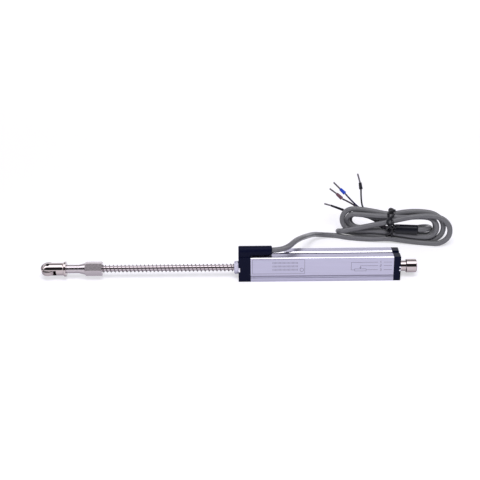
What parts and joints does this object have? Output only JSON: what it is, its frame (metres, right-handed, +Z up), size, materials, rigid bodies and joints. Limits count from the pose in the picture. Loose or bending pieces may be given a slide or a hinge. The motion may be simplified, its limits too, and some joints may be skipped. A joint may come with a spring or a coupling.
{
  "type": "spring return position transducer",
  "caption": "Square-bodied linear position transducer with a spring return push rod, a roller tip and a coiled cable with ferruled wires.",
  "frame": {"origin": "centre of the back mounting face, at the middle of the housing's length and height", "axes": "+X along the push rod from its roller tip to the housing's rear end, +Y out of the back mounting face, +Z up, to the side the cable leaves from"},
  "size_m": [0.3008, 0.0941, 0.0496],
  "materials": {
    "anodised_aluminium": "clear anodised, extruded profile, fine lengthwise grain",
    "black_moulding": "moulded, slightly glossy black",
    "white_bush": "natural white sliding plastic",
    "polished_steel": "turned stainless steel, polished bright",
    "hex_steel": "machined stainless steel hexagon",
    "spring_steel": "bright drawn spring wire",
    "screw_steel": "zinc plated",
    "circuit_board": "glass fibre board",
    "track_paste": "conductive plastic track",
    "terminal_tin": "tinned pins",
    "carriage_plastic": "sliding plastic, natural",
    "contact_gold": "precious metal contact leaf",
    "cable_grey": "grey cable jacket, satin",
    "sleeve_black": "black shrunk sleeve",
    "tie_black": "black coated wire tie",
    "wire_black_skin": "black wire insulation",
    "wire_blue_skin": "blue wire insulation",
    "wire_brown_skin": "brown wire insulation",
    "shield_sleeve": "black sleeve over the shield's strand",
    "collar_black": "black ferrule collar",
    "collar_blue": "blue ferrule collar",
    "collar_brown": "red brown ferrule collar",
    "ferrule_tin": "tinned copper ferrule"
  },
  "bodies": {
    "housing": {"housing_profile": "anodised_aluminium", "front_cap": "black_moulding", "rear_cap": "black_moulding", "front_bush": "white_bush", "rear_bush": "white_bush", "front_cap_screws": "screw_steel", "rear_cap_screws": "screw_steel", "spring_seat_washer": "white_bush", "track_board": "circuit_board", "resistance_track": "track_paste", "collector_track": "track_paste", "terminal_pins": "terminal_tin", "return_spring": "spring_steel", "cable_lead": "cable_grey", "cable_hank": "cable_grey", "cable_end": "cable_grey", "heat_shrink": "sleeve_black", "twist_tie": "tie_black", "wire_black": "wire_black_skin", "wire_blue": "wire_blue_skin", "wire_brown": "wire_brown_skin", "wire_shield": "shield_sleeve", "ferrule_collar_black": "collar_black", "ferrule_collar_blue": "collar_blue", "ferrule_collar_brown": "collar_brown", "ferrule_collar_shield": "sleeve_black", "ferrule_pin_black": "ferrule_tin", "ferrule_pin_blue": "ferrule_tin", "ferrule_pin_brown": "ferrule_tin", "ferrule_pin_shield": "ferrule_tin"},
    "carriage": {"wiper_carriage": "carriage_plastic", "wiper_fingers": "contact_gold"},
    "rod": {"push_rod": "polished_steel", "retaining_rings": "spring_steel", "hex_adapter": "hex_steel", "roller_head": "polished_steel", "roller_pin": "polished_steel", "roller_inner_ring": "polished_steel", "stop_nut": "polished_steel"},
    "roller": {"roller_outer_ring": "polished_steel", "roller_shields": "polished_steel"},
    "roller_ball_set": {"roller_balls": "polished_steel"}
  },
  "joints": [
    {"name": "rod_slide", "type": "slide", "parent": "housing", "child": "carriage", "axis": [1, 0, 0], "range_m": [0, 0.075], "stiffness_N_per_m": 40, "springref_m": -0.05, "deforming": ["return_spring"]},
    {"name": "rod_turn", "type": "hinge", "parent": "carriage", "child": "rod", "pos_m": [0, -0.0127, 0], "axis": [1, 0, 0], "continuous": true},
    {"name": "roller_spin", "type": "hinge", "parent": "rod", "child": "roller", "pos_m": [-0.1902, -0.0127, 0], "axis": [0, -0.3746, 0.9272], "continuous": true},
    {"name": "ball_set_spin", "type": "hinge", "parent": "rod", "child": "roller_ball_set", "pos_m": [-0.1902, -0.0127, 0], "axis": [0, -0.3746, 0.9272], "continuous": true}
  ],
  "couplings": [
    {"joint": "ball_set_spin", "follows": "roller_spin", "ratio": 0.62187}
  ]
}
